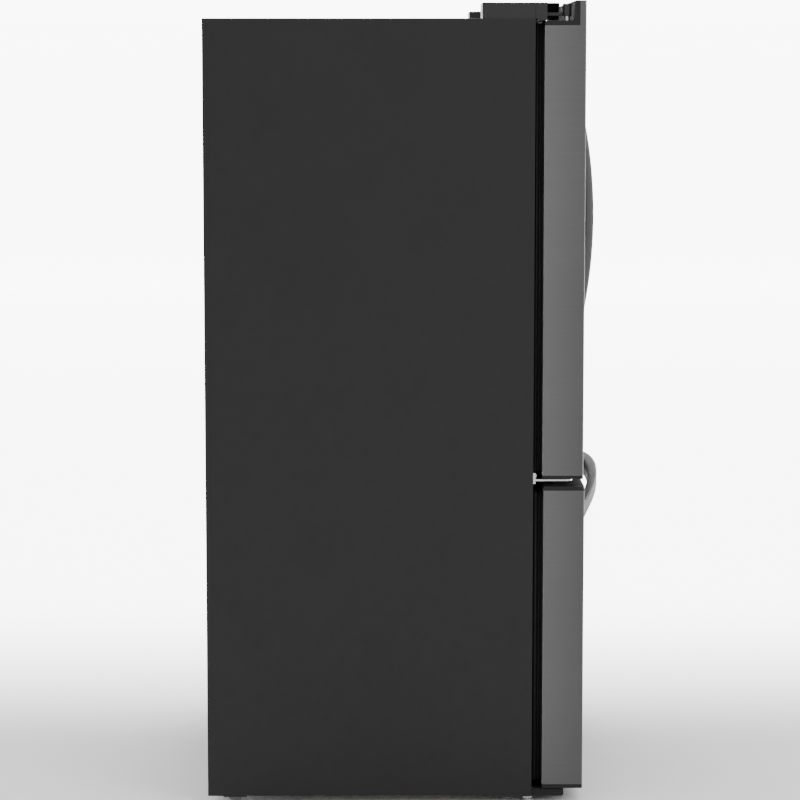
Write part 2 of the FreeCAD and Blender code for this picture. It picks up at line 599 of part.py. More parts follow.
def door_caps():
    """Plastic end caps; each has the bore for a hinge pin."""
    x0, x1 = DOOR_IN, DOOR_OUT
    plate = box(x0, x1, DOOR_FACE + LIP_METAL, DOOR_REAR, DOOR_TOP - CAP_TOP, DOOR_TOP)
    wall = box(x0, x1, DOOR_FACE + LIP_METAL, DOOR_FACE + LIP_DEPTH, DOOR_TOP, LIP_TOP)
    wall = wall.makeChamfer(3.5, [e for e in wall.Edges if e.BoundBox.ZMin > LIP_TOP - 0.1
                                  and e.BoundBox.YMin > DOOR_FACE + LIP_DEPTH - 0.1])
    fill = box(x0 + SHEET, x1 - SHEET, DOOR_FACE + SHEET, DOOR_FACE + LIP_METAL,
               DOOR_TOP - CAP_TOP, LIP_TOP - SHEET)
    fill = round_edges(fill, 4.0 - SHEET, lambda p, d: abs(d.z) > 0.99 and p.y < DOOR_FACE + 2)
    boss = rod(HINGE_X, HINGE_Y, DOOR_TOP - 34, 13, 34)
    upper = fuse([plate, wall, fill, boss]).cut(rod(HINGE_X, HINGE_Y, DOOR_TOP - 26, PIN_R + FIT, 30))
    plate = box(x0, x1, DOOR_FACE, DOOR_REAR, DOOR_BOTTOM, DOOR_BOTTOM + CAP_BOTTOM)
    plate = round_edges(plate, 4.0, lambda p, d: abs(d.z) > 0.99 and p.y < DOOR_FACE + 1)
    boss = rod(HINGE_X, HINGE_Y, DOOR_BOTTOM, 13, 34)
    lower = fuse([plate, boss]).cut(rod(HINGE_X, HINGE_Y, DOOR_BOTTOM - 1, PIN_R + FIT, 27))
    return Part.makeCompound([upper, lower])


def door_core():
    """Foam between the skin and the inner panel."""
    z0, z1 = DOOR_BOTTOM + CAP_BOTTOM, DOOR_TOP - CAP_TOP
    core = box(DOOR_IN + SHEET, DOOR_OUT - SHEET, DOOR_FACE + SHEET, DOOR_REAR - LINER_WALL, z0, z1)
    core = round_edges(core, 4.0 - SHEET, lambda p, d: abs(d.z) > 0.99 and p.y < DOOR_FACE + 2)
    return cut(core, [rod(HINGE_X, HINGE_Y, z1 - 26, 13, 40), rod(HINGE_X, HINGE_Y, z0 - 10, 13, 36)])


DYKE_IN = 62.0  # raised rim of the inner panel, from the door's edge
DYKE_WIDTH = 22.0
DYKE_REACH = 38.0  # past the case front


def panel_liner(x0, x1, rear, z0, z1):
    """Inner panel with the raised rim that stands into the compartment."""
    sheet = box(x0 + SHEET, x1 - SHEET, rear - LINER_WALL, rear, z0, z1)
    rim_back = CASE_FRONT + DYKE_REACH
    outer = rounded_box(x0 + DYKE_IN, x1 - DYKE_IN, rear, rim_back, z0 + DYKE_IN, z1 - DYKE_IN, 16, "y")
    inner = rounded_box(x0 + DYKE_IN + DYKE_WIDTH, x1 - DYKE_IN - DYKE_WIDTH, rear, rim_back + 1,
                        z0 + DYKE_IN + DYKE_WIDTH, z1 - DYKE_IN - DYKE_WIDTH, 12, "y")
    return fuse([sheet, outer.cut(inner)])


def door_liner():
    return panel_liner(DOOR_IN, DOOR_OUT, DOOR_REAR, DOOR_BOTTOM + CAP_BOTTOM, DOOR_TOP - CAP_TOP)


def gasket(x0, x1, rear, z0, z1):
    """Bellows gasket: a base, a thinner web and the magnet bulb."""
    back = CASE_FRONT - GASKET_GAP
    base = ring(x0, x1, rear, rear + 5, z0, z1, GASKET_WIDTH)
    web = ring(x0 + 5, x1 - 5, rear + 4, rear + 10, z0 + 5, z1 - 5, GASKET_WIDTH - 10)
    bulb = ring(x0 + 1, x1 - 1, rear + 9, back, z0 + 1, z1 - 1, GASKET_WIDTH - 6)
    return fuse([base, web, bulb])


def door_gasket():
    return gasket(DOOR_IN + 8, DOOR_OUT - GASKET_INSET, DOOR_REAR,
                  DOOR_BOTTOM + GASKET_INSET, DOOR_TOP - GASKET_TOP_INSET)


def door_handle():
    bar = bow(HANDLE_LENGTH, HANDLE_REACH, BAR_DEPTH, BAR_WIDTH)
    bar.rotate(V(0, 0, 0), DEEP, 90)
    return bar.translated(V(HANDLE_X, DOOR_FACE, HANDLE_Z))


BIN_LEVELS = (1008.0, 1220.0, 1430.0)
BIN_REACH = 112.0


def door_bins():
    """Three clear bins hung between the sides of the raised rim."""
    x0, x1 = DOOR_IN + DYKE_IN + DYKE_WIDTH, DOOR_OUT - DYKE_IN - DYKE_WIDTH
    return Part.makeCompound([tray(x0, x1, DOOR_REAR, CASE_FRONT + BIN_REACH, z, z + 92, 2.5, 14)
                              for z in BIN_LEVELS])


MULLION_X = 32.0
MULLION_Y = CASE_FRONT + 10.0
MULLION_WIDTH = 54.0
MULLION_BOTTOM = FRIDGE_FLOOR + 30
MULLION_TOP = FRIDGE_CEILING - 8


def mullion_bar():
    """Left door's sealing flap, stored folded back into the compartment."""
    z0, z1 = MULLION_BOTTOM, MULLION_TOP
    bar = rounded_box(-MULLION_X - 8, -MULLION_X + 8, MULLION_Y - 8, MULLION_Y + MULLION_WIDTH, z0, z1, 3)
    pins = [rod(-MULLION_X, MULLION_Y, z, 3, 12) for z in (z0 - 6, z1 - 6)]
    return fuse([bar] + pins)


def mullion_brackets():
    """Eyes on the left door's inner panel that hold the flap's pins."""
    z0, z1 = MULLION_BOTTOM, MULLION_TOP
    eyes = []
    for low, high in ((z0 - 6, z0 - 0.5), (z1 + 0.5, z1 + 6)):
        arm = box(-MULLION_X - 32, -MULLION_X + 6, MULLION_Y - 6, MULLION_Y + 6, low, high)
        tie = box(-MULLION_X - 34, -MULLION_X - 24, DOOR_REAR, MULLION_Y + 6, low, high)
        eyes.append(fuse([arm, tie]).cut(rod(-MULLION_X, MULLION_Y, low - 1, 3 + FIT, 9)))
    return eyes


# --- freezer drawer -----------------------------------------------------------------------
def freezer_skin():
    return panel_skin(-DOOR_OUT, DOOR_OUT, DRAWER_FACE, DRAWER_REAR, DRAWER_BOTTOM + DRAWER_CAP,
                      DRAWER_TOP - DRAWER_CAP)


def freezer_caps():
    caps = []
    for z0 in (DRAWER_BOTTOM, DRAWER_TOP - DRAWER_CAP):
        plate = box(-DOOR_OUT, DOOR_OUT, DRAWER_FACE, DRAWER_REAR, z0, z0 + DRAWER_CAP)
        caps.append(round_edges(plate, 4.0, lambda p, d: abs(d.z) > 0.99 and p.y < DRAWER_FACE + 1))
    return Part.makeCompound(caps)


def freezer_core():
    core = box(-DOOR_OUT + SHEET, DOOR_OUT - SHEET, DRAWER_FACE + SHEET, DRAWER_REAR - LINER_WALL,
               DRAWER_BOTTOM + DRAWER_CAP, DRAWER_TOP - DRAWER_CAP)
    return round_edges(core, 4.0 - SHEET, lambda p, d: abs(d.z) > 0.99 and p.y < DRAWER_FACE + 2)


def freezer_inner_panel():
    panel = panel_liner(-DOOR_OUT, DOOR_OUT, DRAWER_REAR, DRAWER_BOTTOM + DRAWER_CAP, DRAWER_TOP - DRAWER_CAP)
    way = box(BASKET_X - 30, DOOR_OUT - DYKE_IN + 1, DRAWER_REAR, CASE_FRONT + DYKE_REACH + 1,
              SLIDE_Z - 8, SLIDE_Z + SLIDE_HEIGHT + 8)
    return cut(panel, [way, mirrored(way)])


def freezer_gasket():
    return gasket(-DOOR_OUT + GASKET_INSET, DOOR_OUT - GASKET_INSET, DRAWER_REAR,
                  DRAWER_BOTTOM + GASKET_INSET, DRAWER_TOP - GASKET_INSET)


def freezer_handle():
    """A bow that also arches upwards: a tall bar cut to a slab that climbs away from the panel."""
    half, rise = DRAWER_BAR_WIDTH / 2, DRAWER_HANDLE_RISE
    bar = bow(DRAWER_HANDLE_LENGTH, DRAWER_HANDLE_REACH, BAR_DEPTH, 2 * DRAWER_BAR_WIDTH + 2 * rise)
    end = -DRAWER_HANDLE_LENGTH / 2 - 1
    corners = [V(end, 1, -half), V(end, 0, -half), V(end, -DRAWER_HANDLE_REACH, rise - half),
               V(end, -DRAWER_HANDLE_REACH - 1, rise - half), V(end, -DRAWER_HANDLE_REACH - 1, rise + half),
               V(end, -DRAWER_HANDLE_REACH, rise + half), V(end, 0, half), V(end, 1, half)]
    slab = Part.Face(Part.makePolygon(corners + corners[:1])).extrude(V(-2 * end, 0, 0))
    return bar.common(slab).translated(V(0, DRAWER_FACE, DRAWER_HANDLE_Z))


BASKET_X = 372.0
BASKET_FRONT = CASE_FRONT + 46.0
BASKET_BACK = CASE_BACK - MACHINE_DEPTH - 62.0
SLIDE_Z = 250.0
SLIDE_HEIGHT = 34.0


def freezer_basket():
    """Deep drawer bin with its two carrying arms, fixed to the drawer front."""
    bin_body = tray(-BASKET_X, BASKET_X, BASKET_FRONT, BASKET_BACK, 100, 400, 3, 20)
    arms = []
    for side in (-1, 1):
        x0, x1 = sorted((side * (BASKET_X - 1), side * (BASKET_X + 8)))
        arms.append(box(x0, x1, CASE_FRONT + 2, BASKET_BACK, SLIDE_Z, SLIDE_Z + SLIDE_HEIGHT))
        x0, x1 = sorted((side * (BASKET_X - 22), side * (BASKET_X + 8)))
        arms.append(box(x0, x1, DRAWER_REAR, CASE_FRONT + 4, SLIDE_Z, SLIDE_Z + SLIDE_HEIGHT))
    return fuse([bin_body] + arms)


def slide_members():
    """Middle members of the two full-extension slides."""
    x0 = BASKET_X + 10
    member = box(x0, x0 + 8, CASE_FRONT + 8, BASKET_BACK - 4, SLIDE_Z + 2, SLIDE_Z + SLIDE_HEIGHT - 2)
    return both_sides(member)


def slide_rails():
    """Outer members of the slides, screwed to the freezer liner."""
    x0 = BASKET_X + 20
    x1 = LINER_X - LINER_WALL
    rail = box(x0, x1, CASE_FRONT + 12, BASKET_BACK - 2, SLIDE_Z - 2, SLIDE_Z + SLIDE_HEIGHT + 2)
    groove = box(x0 - 1, x0 + 3, CASE_FRONT + 11, BASKET_BACK, SLIDE_Z + 4, SLIDE_Z + SLIDE_HEIGHT - 4)
    upper = box(BASKET_X - 6, x1, CASE_FRONT + 60, EVAPORATOR_Y - 20, 463.5, 475.5)
    return Part.makeCompound([both_sides(rail.cut(groove)), both_sides(upper)])


def upper_basket():
    """Shallow sliding tray above the deep bin."""
    edge = BASKET_X + 8
    body = tray(-edge, edge, CASE_FRONT + 66, EVAPORATOR_Y - 40, 476, 590, 3, 20)
    rims = [box(x0, x0 + 22, CASE_FRONT + 80, EVAPORATOR_Y - 60, 586, 590) for x0 in (-edge - 14, edge - 8)]
    return fuse([body] + rims)


# --- every node ---------------------------------------------------------------------------
def sides(name, right_shape):
    """Saves a mirrored pair as NAME_left and NAME_right, or left_X and right_X for door parts."""
    save(name.format(side="right"), right_shape)
    save(name.format(side="left"), mirrored(right_shape))


SINGLE = {
    "cabinet_wrapper": cabinet_wrapper, "cabinet_back": cabinet_back, "cabinet_foam": cabinet_foam,
    "fridge_liner": fridge_liner, "freezer_liner": freezer_liner, "cross_rails": cross_rails,
    "kick_plate": kick_plate, "base_pan": base_pan,
    "machine_cover": machine_cover, "cord_gland": cord_gland, "compressor": compressor,
    "condenser": condenser, "condenser_fan_mount": condenser_fan_mount, "condenser_fan": condenser_fan,
    "drain_pan": drain_pan, "evaporator": evaporator, "evaporator_cover": evaporator_cover,
    "evaporator_fan": evaporator_fan, "air_duct": air_duct, "light_lens": light_lens,
    "control_panel": control_panel, "shelf_frames": shelf_frames, "shelf_panes": shelf_panes,
    "mullion_bar": mullion_bar, "freezer_skin": freezer_skin, "freezer_caps": freezer_caps,
    "freezer_core": freezer_core, "freezer_inner_panel": freezer_inner_panel,
    "freezer_gasket": freezer_gasket, "freezer_handle": freezer_handle,
    "freezer_basket": freezer_basket, "slide_members": slide_members, "slide_rails": slide_rails,
    "upper_basket": upper_basket,
}
for node, make in SINGLE.items():
    save(node, make())

for node, make in {"base_rails": base_rail, "top_hinges": top_hinge, "hinge_covers": hinge_cover,
                   "centre_hinges": centre_hinge}.items():
    save(node, both_sides(make()))

sides("front_roller_{side}", roller(FRONT_ROLLER_Y, FRONT_ROLLER_Z, FRONT_ROLLER_R))
sides("rear_roller_{side}", roller(REAR_ROLLER_Y, REAR_ROLLER_R, REAR_ROLLER_R))
sides("levelling_leg_{side}", levelling_leg())
sides("crisper_{side}", crisper())
sides("{side}_door_skin", door_skin())
sides("{side}_door_caps", door_caps())
sides("{side}_door_core", door_core())
sides("{side}_door_gasket", door_gasket())
sides("{side}_door_handle", door_handle())
sides("{side}_door_bins", door_bins())
save("right_door_liner", door_liner())
save("left_door_liner", fuse([mirrored(door_liner())] + mullion_brackets()))
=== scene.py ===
import bmesh
import bpy
import math
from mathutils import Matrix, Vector


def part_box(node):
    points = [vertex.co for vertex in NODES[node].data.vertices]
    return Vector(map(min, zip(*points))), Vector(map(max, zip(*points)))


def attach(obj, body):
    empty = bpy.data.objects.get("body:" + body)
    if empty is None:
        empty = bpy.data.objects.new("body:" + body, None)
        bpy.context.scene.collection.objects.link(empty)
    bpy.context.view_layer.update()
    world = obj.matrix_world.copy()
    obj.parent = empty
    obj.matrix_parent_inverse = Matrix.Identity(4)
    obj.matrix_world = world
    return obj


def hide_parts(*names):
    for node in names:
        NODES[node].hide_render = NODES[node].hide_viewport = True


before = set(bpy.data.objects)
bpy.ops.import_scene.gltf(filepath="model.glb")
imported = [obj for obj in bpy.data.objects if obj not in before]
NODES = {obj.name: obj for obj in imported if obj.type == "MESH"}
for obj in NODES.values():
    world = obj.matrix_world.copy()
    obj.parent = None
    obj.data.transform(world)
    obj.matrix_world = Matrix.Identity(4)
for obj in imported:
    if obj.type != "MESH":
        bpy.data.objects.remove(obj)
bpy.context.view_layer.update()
SIDES = (("left", -1.0), ("right", 1.0))

# --- places worked out from the frame (metres) ------------------------------------------------
CASE_LOW, CASE_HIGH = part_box("cabinet_wrapper")
DOOR_LOW, DOOR_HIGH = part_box("right_door_skin")
COVER_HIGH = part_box("hinge_covers")[1]

# --- sizes of the visible pieces (metres) -----------------------------------------------------
BAR_DEPTH = 0.022  # thickness of a handle's bar
DRAWER_HANDLE_RISE = 0.034  # the drawer handle's middle stands this much above its ends
GASKET_WIDTH = 0.024  # from a seal's outer edge to its inner edge
LIP_STAND = 0.0545  # top of a door's cap above the top of its side metal
HEM_RADIUS = 0.0007  # rolled edge of a door's or the drawer's side metal
BACK_PANEL_INSET = 0.0026  # from the rear of the back panel's ribs to the foot of its screws


# --- materials --------------------------------------------------------------------------------
class Builder:
    """A node tree with short ways to add and join its nodes."""

    def __init__(self, name):
        self.material = bpy.data.materials.new(name)
        self.material.use_nodes = True
        self.nodes = self.material.node_tree.nodes
        self.links = self.material.node_tree.links
        self.shader = self.nodes["Principled BSDF"]
        self.place = self.nodes.new("ShaderNodeTexCoord").outputs["Object"]
        self.soft_edge = None

    def link(self, source, target):
        self.links.new(source, target)

    def noise(self, scale, detail=3.0, stretch=(1, 1, 1), rough=0.55):
        mapping = self.nodes.new("ShaderNodeMapping")
        mapping.inputs["Scale"].default_value = stretch
        self.link(self.place, mapping.inputs["Vector"])
        node = self.nodes.new("ShaderNodeTexNoise")
        node.inputs["Scale"].default_value = scale
        node.inputs["Detail"].default_value = detail
        node.inputs["Roughness"].default_value = rough
        self.link(mapping.outputs["Vector"], node.inputs["Vector"])
        return node.outputs["Fac"]

    def cells(self, scale):
        node = self.nodes.new("ShaderNodeTexVoronoi")
        node.inputs["Scale"].default_value = scale
        self.link(self.place, node.inputs["Vector"])
        return node.outputs["Color"]

    def spread(self, value, low, high, start=0.3, end=0.7):
        node = self.nodes.new("ShaderNodeMapRange")
        node.inputs["From Min"].default_value = start
        node.inputs["From Max"].default_value = end
        node.inputs["To Min"].default_value = low
        node.inputs["To Max"].default_value = high
        self.link(value, node.inputs["Value"])
        return node.outputs["Result"]

    def mix(self, factor, first, second):
        node = self.nodes.new("ShaderNodeMix")
        node.data_type = "RGBA"
        for value, socket in ((first, node.inputs[6]), (second, node.inputs[7])):
            if isinstance(value, tuple):
                socket.default_value = (*value, 1.0)
            else:
                self.link(value, socket)
        self.link(factor, node.inputs[0])
        return node.outputs[2]

    def maths(self, kind, first, second):
        node = self.nodes.new("ShaderNodeMath")
        node.operation = kind
        for value, socket in ((first, node.inputs[0]), (second, node.inputs[1])):
            if isinstance(value, (int, float)):
                socket.default_value = value
            else:
                self.link(value, socket)
        return node.outputs[0]

    def edges(self, radius):
        """1 along the sharp edges and 0 elsewhere; the shading is rounded there as well."""
        bevel = self.nodes.new("ShaderNodeBevel")
        bevel.samples = 6
        bevel.inputs["Radius"].default_value = radius
        self.soft_edge = bevel.outputs["Normal"]
        geometry = self.nodes.new("ShaderNodeNewGeometry")
        dot = self.nodes.new("ShaderNodeVectorMath")
        dot.operation = "DOT_PRODUCT"
        self.link(bevel.outputs["Normal"], dot.inputs[0])
        self.link(geometry.outputs["Normal"], dot.inputs[1])
        return self.spread(dot.outputs["Value"], 1.0, 0.0, 0.86, 0.995)

    def bump(self, height, strength, distance):
        node = self.nodes.new("ShaderNodeBump")
        node.inputs["Strength"].default_value = strength
        node.inputs["Distance"].default_value = distance
        self.link(height, node.inputs["Height"])
        if self.soft_edge:
            self.link(self.soft_edge, node.inputs["Normal"])
        self.link(node.outputs["Normal"], self.shader.inputs["Normal"])

    def axis(self, index):
        node = self.nodes.new("ShaderNodeSeparateXYZ")
        self.link(self.place, node.inputs[0])
        return node.outputs[index]


def tinted(colour, factor):
    return tuple(min(1.0, c * factor) for c in colour)


def plastic(name, colour, rough=0.5, grain=1400.0, depth=0.00006, edge=0.0012, worn=1.7, specular=0.4):
    """Moulded plastic or powder paint: a fine grain, blotchy gloss, and edges rubbed lighter."""
    b = Builder(name)
    rubbed = b.maths("MULTIPLY", b.edges(edge), b.spread(b.noise(60.0), 0.25, 1.0))
    b.soft_edge = None
    blotch = b.noise(7.0, 4.0)
    body = b.mix(b.spread(blotch, 0.0, 1.0), tinted(colour, 0.93), tinted(colour, 1.07))
    b.link(b.mix(rubbed, body, tinted(colour, worn)), b.shader.inputs["Base Color"])
    b.link(b.spread(b.noise(45.0, 5.0), rough - 0.05, rough + 0.06), b.shader.inputs["Roughness"])
    b.shader.inputs["Specular IOR Level"].default_value = specular
    b.bump(b.noise(grain, 2.0), 0.35, depth)
    return b.material


def brushed(name, colour, rough=0.34, along=(1.0, 1.0, 260.0), scale=6.0, worn=1.5, metallic=1.0,
            painted_door_shade=False, sheen=1.0):
    """Brushed metal: fine parallel scratches, a slow change of tone, brighter bent edges.

    With the door shading on, the tone is painted darker towards the front and the foot of the doors and a
    little lighter at the rear and the head: painted shade standing in for the fall of the light.
    """
    b = Builder(name)
    scratch = b.noise(scale, 6.0, along, 0.7)
    slow = b.noise(1.4, 2.0)
    tone = b.maths("ADD", b.maths("MULTIPLY", scratch, 0.6), b.maths("MULTIPLY", slow, 0.4))
    if painted_door_shade:
        # painted shade: the tone is darkened towards the front and the foot of the doors, in place of the
        # light's fall-off
        painted_shade_level = b.maths("MULTIPLY", b.spread(b.axis(1), 0.80, 1.08, DOOR_LOW.y, DOOR_HIGH.y),
                        b.spread(b.axis(2), 0.78, 1.06, 0.0, DOOR_HIGH.z))
        tone = b.maths("MULTIPLY", b.spread(tone, 0.88, 1.12, 0.35, 0.65), painted_shade_level)
        body = b.mix(b.spread(tone, 0.0, 1.0, 0.0, 1.6), (0.0, 0.0, 0.0), tinted(colour, 1.6))
    else:
        body = b.mix(b.spread(tone, 0.0, 1.0, 0.35, 0.65), tinted(colour, 0.88), tinted(colour, 1.12))
    b.link(b.mix(b.edges(radius=0.0012), body, tinted(colour, worn)), b.shader.inputs["Base Color"])
    b.link(b.spread(scratch, rough - 0.06, rough + 0.08), b.shader.inputs["Roughness"])
    b.shader.inputs["Metallic"].default_value = metallic
    b.shader.inputs["Specular Tint"].default_value = (sheen, sheen, sheen, 1.0)
    b.bump(scratch, 0.12, 0.00004)
    return b.material


def clear(name, tint, rough, alpha):
    """Clear plastic or glass with faint smears."""
    b = Builder(name)
    smear = b.noise(9.0, 5.0, (1, 1, 3))
    b.link(b.mix(b.spread(smear, 0.0, 1.0), tinted(tint, 0.96), tint), b.shader.inputs["Base Color"])
    b.link(b.spread(smear, rough, rough + 0.07), b.shader.inputs["Roughness"])
    b.edges(0.001)
    b.bump(b.noise(120.0, 2.0), 0.05, 0.0001)
    b.shader.inputs["IOR"].default_value = 1.49
    b.shader.inputs["Transmission Weight"].default_value = 0.85
    b.shader.inputs["Alpha"].default_value = alpha
    return b.material


def galvanised():
    """Zinc-coated sheet with spangles."""
    b = Builder("galvanised_sheet")
    spangle = b.cells(95.0)
    tone = b.mix(b.spread(spangle, 0.0, 1.0, 0.0, 1.0), (0.30, 0.31, 0.32), (0.42, 0.43, 0.44))
    b.link(b.mix(b.edges(0.001), tone, (0.6, 0.6, 0.6)), b.shader.inputs["Base Color"])
    b.link(b.spread(spangle, 0.38, 0.55, 0.0, 1.0), b.shader.inputs["Roughness"])
    b.shader.inputs["Metallic"].default_value = 0.9
    b.bump(b.noise(300.0, 3.0), 0.1, 0.0001)
    return b.material


def hinge_metal():
    """The top hinge: a bright plated pin below a black boss and plate."""
    b = Builder("hinge_steel")
    pin_top = CASE_HIGH.z + 0.0048
    is_pin = b.spread(b.axis(2), 1.0, 0.0, pin_top - 0.0002, pin_top + 0.0002)
    fine = b.noise(220.0, 3.0)
    bright = b.mix(b.spread(fine, 0.0, 1.0), (0.72, 0.72, 0.74), (0.9, 0.9, 0.9))
    b.link(b.mix(is_pin, (0.02, 0.02, 0.021), bright), b.shader.inputs["Base Color"])
    b.link(is_pin, b.shader.inputs["Metallic"])
    b.link(b.spread(fine, 0.3, 0.42), b.shader.inputs["Roughness"])
    b.edges(0.0008)
    b.bump(b.noise(900.0), 0.2, 0.00004)
    return b.material


def lamp():
    """A frosted lens that gives a little light."""
    b = Builder("lamp_lens")
    ribs = b.noise(80.0, 2.0, (1, 6, 1))
    glass = b.mix(b.spread(ribs, 0.0, 1.0), (0.86, 0.88, 0.92), (0.96, 0.97, 1.0))
    b.link(glass, b.shader.inputs["Base Color"])
    b.shader.inputs["Emission Color"].default_value = (0.93, 0.96, 1.0, 1.0)
    b.shader.inputs["Emission Strength"].default_value = 1.5
    b.shader.inputs["Roughness"].default_value = 0.4
    b.edges(0.002)
    b.bump(ribs, 0.3, 0.0004)
    return b.material


def foam():
    """Open-faced insulation."""
    b = Builder("foam")
    cell = b.noise(500.0, 6.0)
    body = b.mix(b.spread(cell, 0.0, 1.0), (0.62, 0.53, 0.33), (0.78, 0.70, 0.50))
    b.link(body, b.shader.inputs["Base Color"])
    b.shader.inputs["Roughness"].default_value = 0.9
    b.bump(cell, 0.6, 0.0006)
    return b.material


# painted highlight: a near-white metal for the rolled edges of the door sides, so that they show as a
# bright line
PAINTED_HIGHLIGHT_METAL = brushed("painted_highlight_edge", (0.78, 0.78, 0.78), 0.30, (1, 1, 1), 300.0, 1.1)
PAINT = plastic("cabinet_paint", (0.0100, 0.0100, 0.0100), 0.52, 1100.0, 0.00012, 0.0015, 2.2, 0.36)
# the door skins carry painted shade: darker towards the front and the foot, lighter at the rear and the
# head
STAINLESS = brushed("dark_stainless", (0.158, 0.158, 0.158), 0.36, painted_door_shade=True)
HANDLE = brushed("handle_metal", (0.135, 0.135, 0.137), 0.46, (1, 1, 1), 700.0, 1.5, 0.7, sheen=0.15)
CAPS = plastic("cap_plastic", (0.0265, 0.0265, 0.0267), 0.8, 1600.0, 0.00004, 0.0012, 1.6, 0.03)
COVER = plastic("cover_plastic", (0.0165, 0.0165, 0.0167), 0.5, 1300.0, 0.0001, 0.002, 1.8)
RUBBER = plastic("gasket_rubber", (0.006, 0.006, 0.0063), 0.62, 2200.0, 0.00003, 0.0006, 1.6, 0.3)
DARK_STEEL = plastic("dark_steel", (0.014, 0.014, 0.0145), 0.45, 900.0, 0.00005, 0.001, 2.5, 0.5)
LINER = plastic("liner_plastic", (0.80, 0.81, 0.82), 0.36, 260.0, 0.00006, 0.003, 1.06, 0.5)
TRIM = plastic("shelf_trim", (0.72, 0.73, 0.74), 0.4, 500.0, 0.00004, 0.001, 1.1, 0.5)
PLATED = brushed("plated_steel", (0.74, 0.74, 0.75), 0.24, (1, 1, 1), 260.0, 1.2)
ZINC = brushed("zinc_steel", (0.42, 0.43, 0.43), 0.38, (1, 30, 30), 12.0, 1.3)
SLIDE = brushed("slide_steel", (0.52, 0.52, 0.53), 0.28, (200, 1, 200), 6.0, 1.3)
COIL = brushed("coil_aluminium", (0.6, 0.61, 0.62), 0.34, (1, 40, 40), 14.0, 1.2)
MOTOR_PAINT = plastic("compressor_paint", (0.012, 0.012, 0.012), 0.3, 400.0, 0.0001, 0.002, 2.5, 0.5)
FAN = plastic("fan_plastic", (0.07, 0.07, 0.075), 0.5, 900.0, 0.00005, 0.0008, 1.6)
ROLLER = plastic("roller_nylon", (0.17, 0.17, 0.17), 0.55, 700.0, 0.0001, 0.001, 1.5)
FLAP = plastic("flap_paint", (0.05, 0.05, 0.052), 0.42, 800.0, 0.00005, 0.0012, 1.8)
TOUCH = plastic("touch_panel", (0.012, 0.012, 0.014), 0.12, 90.0, 0.00002, 0.001, 2.0, 0.6)
SHELF_GLASS = clear("shelf_glass", (0.80, 0.93, 0.88), 0.03, 0.55)
CLEAR_BIN = clear("clear_bin", (0.88, 0.93, 0.97), 0.08, 0.5)
GALVANISED = galvanised()
FOAM = foam()

FINISHES = {
    "cabinet_wrapper": PAINT, "cabinet_back": GALVANISED, "cabinet_foam": FOAM,
    "fridge_liner": LINER, "freezer_liner": LINER, "cross_rails": DARK_STEEL, "kick_plate": CAPS,
    "base_pan": ZINC, "machine_cover": DARK_STEEL, "cord_gland": CAPS, "compressor": MOTOR_PAINT,
    "condenser": COIL, "condenser_fan_mount": CAPS, "condenser_fan": FAN, "drain_pan": CAPS,
    "evaporator": COIL, "evaporator_cover": LINER, "evaporator_fan": FAN, "air_duct": LINER,
    "light_lens": lamp(), "control_panel": TOUCH, "shelf_frames": TRIM, "shelf_panes": SHELF_GLASS,
    "mullion_bar": FLAP, "freezer_basket": LINER, "slide_members": SLIDE, "slide_rails": SLIDE,
    "upper_basket": CLEAR_BIN, "base_rails": DARK_STEEL, "top_hinges": hinge_metal(),
    "centre_hinges": PLATED, "hinge_covers": COVER, "freezer_inner_panel": LINER,
}
for side, _ in SIDES:
    FINISHES.update({
        f"front_roller_{side}": ROLLER, f"rear_roller_{side}": ROLLER, f"crisper_{side}": CLEAR_BIN,
        f"{side}_door_liner": LINER, f"{side}_door_bins": CLEAR_BIN,
    })
for door in ("left_door", "right_door", "freezer"):
    FINISHES.update({f"{door}_skin": STAINLESS, f"{door}_caps": CAPS, f"{door}_core": FOAM})


def finish_nodes():
    """Gives every carried-over part its material."""
    for node, material in FINISHES.items():
        slots = NODES[node].data.materials
        slots.clear()
        slots.append(material)


# --- mesh helpers -----------------------------------------------------------------------------
def piece(name, mesh, material, body, replaces=(), smooth=True):
    """Turns a bmesh into an object that rides on a body."""
    bmesh.ops.recalc_face_normals(mesh, faces=mesh.faces)
    data = bpy.data.meshes.new(name)
    mesh.to_mesh(data)
    mesh.free()
    thing = bpy.data.objects.new(name, data)
    bpy.context.scene.collection.objects.link(thing)
    data.materials.append(material)
    if smooth:
        data.shade_smooth()
    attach(thing, body)
    if replaces:
        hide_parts(*replaces)


def loft(mesh, rings, closed=True, capped=False):
    """Joins rings of points with quads. Each ring is closed; the row of rings may be too."""
    rows = [[mesh.verts.new(p) for p in ring] for ring in rings]
    count = len(rows[0])
    following = rows[1:] + rows[:1] if closed else rows[1:]
    for first, second in zip(rows, following):
        for k in range(count):
            mesh.faces.new((first[k], first[(k + 1) % count], second[(k + 1) % count], second[k]))
    if capped:
        mesh.faces.new(rows[0])
        mesh.faces.new(list(reversed(rows[-1])))


def rounded_section(half_wide, low, high, radius, steps=5):
    """Points of a rounded rectangle: x from -half_wide to half_wide, depth from low to high."""
    radius = min(radius, half_wide * 0.98, (high - low) * 0.49)
    corners = ((half_wide - radius, high - radius, 0), (-half_wide + radius, high - radius, 90),
               (-half_wide + radius, low + radius, 180), (half_wide - radius, low + radius, 270))
    points = []
    for x, y, start in corners:
        for k in range(steps + 1):
            angle = math.radians(start + 90 * k / steps)
            points.append((x + radius * math.cos(angle), y + radius * math.sin(angle)))
    return points


